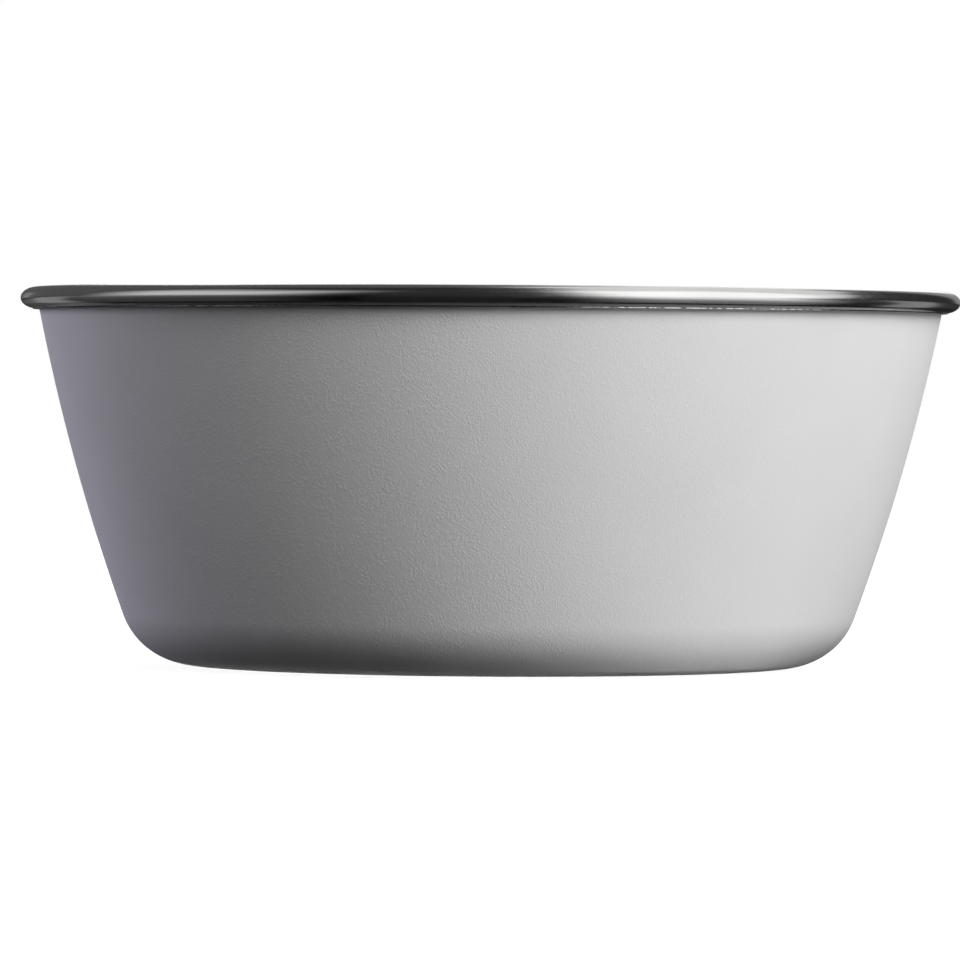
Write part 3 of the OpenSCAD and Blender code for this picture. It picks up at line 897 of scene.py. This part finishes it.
# Bail
def bail_path():
    """The wire's middle line, from the right stub round to the left one."""
    bend = BAIL_BEND_R
    right = [(stub_end_x, bail_y), (stub_end_x - BAIL_END_EDGE, bail_y)]
    right += arc((arm_x + bend, bail_y + bend), bend, bend, 270, 180, BEND_STEPS)
    right += arc((arm_x - bend, bar_y - bend), bend, bend, 0, 90, BEND_STEPS)
    left = [(-x, y) for x, y in reversed(right)]
    return [Vector((x, y, bail_z)) for x, y in right + left]


def bail_wire():
    """Round wire bent to the handle's shape, with broken edges at its ends."""
    path = bail_path()
    loops = []
    for i, point in enumerate(path):
        ahead = path[min(i + 1, len(path) - 1)] - path[max(i - 1, 0)]
        across = Vector((-ahead.y, ahead.x, 0)).normalized()
        at_end = i in (0, len(path) - 1)
        radius = wire_r - BAIL_END_EDGE if at_end else wire_r
        loop = []
        for k in range(WIRE_SIDES):
            turn = 2 * math.pi * k / WIRE_SIDES
            loop.append(point + radius * (across * math.cos(turn) + Vector((0, 0, math.sin(turn)))))
        loops.append(loop)
    dress(stacked_object("bail_wire", loops), wire, "bail", "lift_bail")


# Vent
def flap_loop(inset, z):
    """The flap's outline from its hinge line, drawn in on three sides."""
    x = flap_w / 2 - inset
    corner = POCKET_CORNER_R - inset
    end = hinge_y + flap_l - inset - corner
    points = [(x, hinge_y)]
    points += arc((x - corner, end), corner, corner, 0, 90, EDGE_STEPS)
    points += arc((corner - x, end), corner, corner, 90, 180, EDGE_STEPS)
    points.append((-x, hinge_y))
    return level(points, z)


def rib_loops(y):
    """One grip rib across the flap."""
    edge = RIB_H / 2
    loops = []
    for inset, z in ((0, flap_top_z - RIB_H), (0, flap_top_z + edge), (edge, flap_top_z + RIB_H)):
        outline = slot_outline(RIB_L - 2 * inset, y + inset, y + RIB_W - inset, RIB_W / 2 - inset)
        loops.append(level(outline, z))
    return loops


def vent_lid():
    """Flap with a rounded plate, a hinge barrel and grip ribs at its free end."""
    bm = bmesh.new()
    loops = [flap_loop(inset, flap_z + rise) for inset, rise in quarter(FLAP_UNDER_R)]
    loops += [flap_loop(inset, flap_top_z - rise) for inset, rise in reversed(quarter(FLAP_EDGE_R))]
    add_stack(bm, loops)
    bore = pin_r + PIN_CLEAR
    half = flap_w / 2
    barrel = rounded([
        (bore, -half, 0),
        (barrel_r, -half, BARREL_EDGE_R),
        (barrel_r, half, BARREL_EDGE_R),
        (bore, half, 0),
    ])
    add_turned(bm, barrel, SMALL_TURN_STEPS, along_x(hinge_y, hinge_z))
    for i in range(RIB_COUNT):
        add_stack(bm, rib_loops(hinge_y + flap_l - RIB_END_GAP - RIB_W - i * RIB_PITCH))
    dress(new_object("vent_lid", bm), plastic, "vent", "vent_flap")


def vent_stopper():
    """Silicone plug under the flap, with a tapered stem."""
    disc_z = plug_low.z + STEM_L
    stem_r = VENT_R - STEM_CLEAR
    outline = rounded([
        (0, plug_low.z, 0),
        (stem_r - STEM_TAPER, plug_low.z, PLUG_EDGE_R),
        (stem_r, disc_z, 0),
        (plug_r, disc_z, PLUG_EDGE_R),
        (plug_r, flap_z, 0),
        (0, flap_z, 0),
    ])
    stopper = turned_object("vent_stopper", outline, SMALL_TURN_STEPS, vent_place)
    dress(stopper, gasket_rubber, "vent", "vent_plug")


def hinge_pin():
    """Steel pin of the flap, with broken edges."""
    outline = [(0, -pin_end_x), (pin_r - PIN_EDGE, -pin_end_x), (pin_r, PIN_EDGE - pin_end_x)]
    outline += [(radius, -x) for radius, x in reversed(outline)]
    pin = turned_object("hinge_pin", outline, SMALL_TURN_STEPS, along_x(hinge_y, hinge_z))
    dress(pin, wire, "lid", "vent_pin")


coated_shell()
steel_bowl()
grip_pad()
lid_top()
lid_tray()
lid_seal()
bail_wire()
vent_lid()
vent_stopper()
hinge_pin()

# Stage sizes in metres and light levels
FLOOR_R = 6.0
FLOOR_DROP = 0.00005
FLOOR_STEPS = 96
FLOOR_GLOW = (0.90, 1.0)
FLOOR_GLOW_R = (0.12, 0.50)
FLOOR_LIT = (0.36, 0.36, 0.36, 1.0)
FLOOR_BOUNCE = (0.055, 0.055, 0.055, 1.0)
BLACK_FLOOR_Z = -FLOOR_DROP / 2
BOUNCE_Z = -FLOOR_DROP / 3
FLOOR_CARD_Z = -FLOOR_DROP / 4
CARD_R = 2.4
CARD_STEPS = 24
CARD_LEAN = 26.0
CARD_DIM = 0.04
CARD_TOP_DIM = 0.3
WEAVE_SIZE = 3.0
WEAVE = (0.95, 1.05)
BOUNCE_RISE = (0.12, 0.56)
BOUNCE_RISE_ANGLES = (2, 34)
BOUNCE_FALL = (1.0, 0.30)
BOUNCE_FALL_ANGLES = (50, 76)
CAP_Z = 2.2
CAP_R = 0.42
LAMP_DISTANCE = 1.1
WHITE = (1.0, 1.0, 1.0)
FRONT_TINT = (1.0, 0.965, 0.985)
LEFT_TINT = (0.96, 0.915, 1.0)
EDGE_TINT = (0.655, 0.68, 1.0)


def background_rays(tree):
    """Socket that is 1 for the rays that show the background: camera, glossy and transmission rays."""
    path = tree.nodes.new("ShaderNodeLightPath")
    total = path.outputs["Is Camera Ray"]
    for ray in ("Is Glossy Ray", "Is Transmission Ray"):
        either = tree.nodes.new("ShaderNodeMath")
        either.operation = "MAXIMUM"
        tree.links.new(total, either.inputs[0])
        tree.links.new(path.outputs[ray], either.inputs[1])
        total = either.outputs["Value"]
    return total


def floor_material():
    """White where it shows, with the bowl's shadow on it, and seen from above only."""
    surface = Surface("stage_floor")
    length = surface.node("ShaderNodeVectorMath", {0: surface.place}, operation="LENGTH")
    glow = surface.span(length.outputs["Value"], *FLOOR_GLOW, *FLOOR_GLOW_R)
    white = surface.node("ShaderNodeEmission", {"Strength": glow}).outputs["Emission"]
    lit = surface.node("ShaderNodeBsdfDiffuse", {"Color": FLOOR_LIT}).outputs["BSDF"]
    shown = surface.node("ShaderNodeAddShader", {0: white, 1: lit}).outputs["Shader"]
    other = surface.node("ShaderNodeBsdfDiffuse", {"Color": FLOOR_BOUNCE}).outputs["BSDF"]
    rays = background_rays(surface.tree)
    top = surface.node("ShaderNodeMixShader", {0: rays, 1: other, 2: shown}).outputs["Shader"]
    under = surface.node("ShaderNodeNewGeometry").outputs["Backfacing"]
    clear = surface.node("ShaderNodeBsdfTransparent").outputs["BSDF"]
    both = surface.node("ShaderNodeMixShader", {0: under, 1: top, 2: clear}).outputs["Shader"]
    surface.tree.links.new(both, surface.output.inputs["Surface"])
    return surface.material


def card_material(name, near, far=None, radii=(0.1, 0.4), window=None, top=None):
    """Card that looks equally bright from everywhere.

    It shades from near to far between two radii, fades out beyond a window of azimuths (start, end and
    edge, in degrees) whose end leans with height, and dims between two elevations.
    """
    surface = Surface(name)
    shade = surface.span(surface.radius(), near, near if far is None else far, *radii)
    if window:
        first, last, edge = (math.radians(angle) for angle in window)
        turn = surface.azimuth()
        lean = surface.times(surface.part("Z"), math.radians(CARD_LEAN) / CARD_R)
        rise = surface.span(turn, CARD_DIM, 1.0, first - edge, first)
        fall = surface.span(surface.math("SUBTRACT", turn, lean), 1.0, CARD_DIM, last, last + edge)
        shade = surface.times(shade, surface.times(rise, fall))
    if top:
        low, high = (CARD_R * math.sin(math.radians(angle)) for angle in top)
        shade = surface.times(shade, surface.span(surface.part("Z"), 1.0, CARD_TOP_DIM, low, high))
    weave = surface.times(shade, surface.span(surface.noise(WEAVE_SIZE), *WEAVE))
    glow = surface.node("ShaderNodeEmission", {"Strength": weave}).outputs["Emission"]
    surface.tree.links.new(glow, surface.output.inputs["Surface"])
    return surface.material


def stage_object(name, bm, material):
    """Object of the stage, which is no part of the bowl."""
    mesh = bpy.data.meshes.new(name)
    bm.to_mesh(mesh)
    bm.free()
    mesh.materials.append(material)
    made = bpy.data.objects.new(name, mesh)
    bpy.context.scene.collection.objects.link(made)
    return made


def toward(azimuth, elevation):
    """Direction from the bowl: azimuth from the front towards the right, then elevation, in degrees."""
    a = math.radians(azimuth)
    e = math.radians(elevation)
    return Vector((math.sin(a) * math.cos(e), -math.cos(a) * math.cos(e), math.sin(e)))


def ring_points(radius):
    """Points round a circle, without the first one again at its end."""
    return arc((0, 0), radius, radius, 0, 360 - 360 / FLOOR_STEPS, FLOOR_STEPS - 1)


def floor():
    """Floor that takes shadows but lets the light from below through."""
    bm = bmesh.new()
    bm.faces.new([bm.verts.new((x, y, -FLOOR_DROP)) for x, y in ring_points(FLOOR_R)])
    made = stage_object("stage_floor", bm, floor_material())
    made.visible_shadow = False


def bounce_material():
    """Card that throws light back, palest towards the right, darker to the front and the side."""
    surface = Surface("stage_bounce_card")
    turn = surface.azimuth()
    rise = surface.span(turn, *BOUNCE_RISE, *(math.radians(angle) for angle in BOUNCE_RISE_ANGLES))
    fall = surface.span(turn, *BOUNCE_FALL, *(math.radians(angle) for angle in BOUNCE_FALL_ANGLES))
    weave = surface.tint(surface.noise(WEAVE_SIZE), (0.96, 0.96, 0.96), WHITE)
    colour = surface.darken(weave, surface.times(rise, fall))
    pale = surface.node("ShaderNodeBsdfDiffuse", {"Color": colour}).outputs["BSDF"]
    surface.tree.links.new(pale, surface.output.inputs["Surface"])
    return surface.material


def card(name, material, rows, mirrored=True):
    """Card over rows of points, which only reflections see, or only the light that surfaces scatter."""
    bm = bmesh.new()
    made = [[bm.verts.new(point) for point in row] for row in rows]
    for lower, upper in zip(made, made[1:]):
        for k in range(len(lower) - 1):
            bm.faces.new((lower[k], lower[k + 1], upper[k + 1], upper[k]))
    seen = stage_object(name, bm, material)
    seen.visible_camera = False
    seen.visible_glossy = mirrored
    seen.visible_diffuse = not mirrored
    seen.visible_shadow = False


def steps_between(ends):
    """Even steps from the first end to the last."""
    return [ends[0] + (ends[1] - ends[0]) * i / CARD_STEPS for i in range(CARD_STEPS + 1)]


def wall_card(name, azimuths, elevations, material, lean=0.0, curve=1.0):
    """Curved card round the stage, as a photographer's flag shapes the edges of bright metal.

    Its first edge leans by that many degrees from bottom to top, along a straight line or a curve.
    """
    rows = []
    for i, elevation in enumerate(steps_between(elevations)):
        ends = (azimuths[0] + lean * (i / CARD_STEPS) ** curve, azimuths[1])
        rows.append([toward(azimuth, elevation) * CARD_R for azimuth in steps_between(ends)])
    card(name, material, rows)


def floor_card(name, azimuths, radii, height, material, mirrored=True):
    """Flat card on the floor, for the underside of the rim."""
    lift = Vector((0, 0, height))
    rows = []
    for radius in radii:
        rows.append([toward(azimuth, 0) * radius + lift for azimuth in steps_between(azimuths)])
    card(name, material, rows, mirrored)


def add_lamp(name, data):
    """Lamp that neither the camera nor bright metal sees."""
    lamp = bpy.data.objects.new(name, data)
    lamp.visible_camera = False
    lamp.visible_glossy = False
    bpy.context.scene.collection.objects.link(lamp)
    return lamp


def softbox(name, azimuth, elevation, width, height, radiance, colour=WHITE):
    """Rectangular soft light that faces the bowl's middle."""
    data = bpy.data.lights.new(name, "AREA")
    data.shape = "RECTANGLE"
    data.size = width
    data.size_y = height
    data.energy = radiance * math.pi * width * height
    data.color = colour
    lamp = add_lamp(name, data)
    middle = Vector((0, 0, bowl_h / 2 * MM))
    lamp.location = middle + toward(azimuth, elevation) * LAMP_DISTANCE
    lamp.rotation_mode = "QUATERNION"
    lamp.rotation_quaternion = (middle - lamp.location).to_track_quat("-Z", "Y")


def under_light(width, depth, spread, power):
    """Narrow round light straight below, which shows the pad and the foot from underneath."""
    data = bpy.data.lights.new("under_light", "AREA")
    data.shape = "DISK"
    data.size = width
    data.spread = math.radians(spread)
    data.energy = power
    lamp = add_lamp("under_light", data)
    lamp.location = (0, 0, -depth)
    lamp.rotation_euler = (math.pi, 0, 0)


def world_light(strength):
    """White to the rays that show the background, and a dim even light for the rest."""
    world = bpy.data.worlds.new("studio")
    world.use_nodes = True
    tree = world.node_tree
    tree.nodes.clear()
    choose = tree.nodes.new("ShaderNodeMixShader")
    output = tree.nodes.new("ShaderNodeOutputWorld")
    tree.links.new(background_rays(tree), choose.inputs[0])
    for i, brightness in enumerate((strength, 1.0), 1):
        even = tree.nodes.new("ShaderNodeBackground")
        even.inputs["Color"].default_value = (*WHITE, 1.0)
        even.inputs["Strength"].default_value = brightness
        tree.links.new(even.outputs["Background"], choose.inputs[i])
    tree.links.new(choose.outputs["Shader"], output.inputs["Surface"])
    bpy.context.scene.world = world


# Camera: its place and lens in millimetres, its roll in degrees and its clip in metres
CAMERA_PLACE = (0.0, -1365.5, 52.9)
CAMERA_AIM = (-1.77, 0.0, 34.8)
CAMERA_ROLL = 0.344
CAMERA_LENS = 274.5
CAMERA_SENSOR = 36.0
CAMERA_CLIP = (0.05, 50.0)


def camera():
    """Camera that stands where the photograph was taken."""
    data = bpy.data.cameras.new("camera")
    data.lens = CAMERA_LENS
    data.sensor_width = CAMERA_SENSOR
    data.clip_start, data.clip_end = CAMERA_CLIP
    made = bpy.data.objects.new("camera", data)
    place = Vector(CAMERA_PLACE) * MM
    aim = Vector(CAMERA_AIM) * MM
    roll = Quaternion((0, 0, 1), math.radians(CAMERA_ROLL))
    made.location = place
    made.rotation_mode = "QUATERNION"
    made.rotation_quaternion = (aim - place).to_track_quat("-Z", "Y") @ roll
    bpy.context.scene.collection.objects.link(made)
    bpy.context.scene.camera = made


floor()

black_card = card_material("stage_black_card", 0.015, 0.03)
grey_card = card_material("stage_grey_card", 0.10)
pale_card = card_material("stage_pale_card", 0.30)
white_card = card_material("stage_white_card", 1.4)
key_card = card_material("stage_key_card", 1.55, window=(32, 77, 16))
left_card = card_material("stage_left_card", 0.72, window=(-92, -66, 24), top=(32, 52))
key_floor = card_material("stage_key_floor_card", 0.2, 1.15, (0.115, 0.27), (34, 66, 18))
left_floor = card_material("stage_left_floor_card", 0.05, 0.36, (0.13, 0.75), (-100, -55, 22))

# Cards: their azimuths in degrees, then their radii and height or their elevations
floor_card("card_floor", (0, 360), (0.0, CARD_R), BLACK_FLOOR_Z, black_card)
floor_card("card_floor_key", (5, 104), (0.09, CARD_R), FLOOR_CARD_Z, key_floor)
floor_card("card_floor_left", (-116, -25), (0.09, CARD_R), FLOOR_CARD_Z, left_floor)
floor_card("card_floor_right", (104, 131), (0.13, 0.75), FLOOR_CARD_Z, pale_card)
floor_card("card_floor_far_left", (-141, -116), (0.1, 0.8), FLOOR_CARD_Z, pale_card)
floor_card("card_floor_back_left", (-165, -141), (0.1, 0.8), FLOOR_CARD_Z, grey_card)
floor_card("card_bounce", (-8, 98), (0.06, 0.6), BOUNCE_Z, bounce_material(), mirrored=False)
floor_card("card_cap", (0, 360), (0.0, CAP_R), CAP_Z, black_card)
wall_card("card_front", (-28, 12), (0, 89), black_card)
wall_card("card_left", (-118, -28), (0, 56), left_card)
wall_card("card_left_top", (-118, -28), (56, 89), black_card)
wall_card("card_back_left", (-152, -118), (0, 89), grey_card)
wall_card("card_back_left_low", (-152, -160), (0, 12), pale_card)
wall_card("card_back_left_top", (-160, -152), (12, 89), grey_card)
wall_card("card_key", (12, 93), (0, 62), key_card)
wall_card("card_key_top", (12, 36), (62, 89), black_card)
wall_card("card_back_right", (93, 157), (0, 42), black_card, lean=27, curve=2)
wall_card("card_back_right_edge", (173, 157), (0, 40), pale_card, lean=-13)
wall_card("card_back_white_right", (171, 177), (8, 40), white_card, lean=-11)
wall_card("card_back_low_right", (172, 177), (0, 8), pale_card)
wall_card("card_back_pale_right", (170, 177), (45, 89), pale_card)
wall_card("card_back_white", (182, 177), (0, 40), white_card, lean=15)
wall_card("card_back_grey", (182, 200), (0, 40), grey_card, lean=15)
wall_card("card_back_top", (177, 200), (40, 89), grey_card)

# Lamps: azimuth and elevation in degrees, width and height in metres, and radiance
softbox("key_light", 42, 30, 0.75, 0.45, 10.0)
softbox("front_light", 10, 20, 0.45, 0.45, 2.15, FRONT_TINT)
softbox("left_light", -105, 14, 0.5, 0.5, 4.65, LEFT_TINT)
softbox("left_edge_light", -126, 13, 0.5, 0.5, 4.1, EDGE_TINT)
softbox("right_light", 121, 18, 0.5, 1.0, 5.2)
softbox("back_light", 178, 30, 0.75, 0.45, 6.0)
under_light(width=0.100, depth=0.25, spread=8, power=0.030)
world_light(strength=0.02)
camera()
bpy.context.scene.view_settings.view_transform = "Standard"
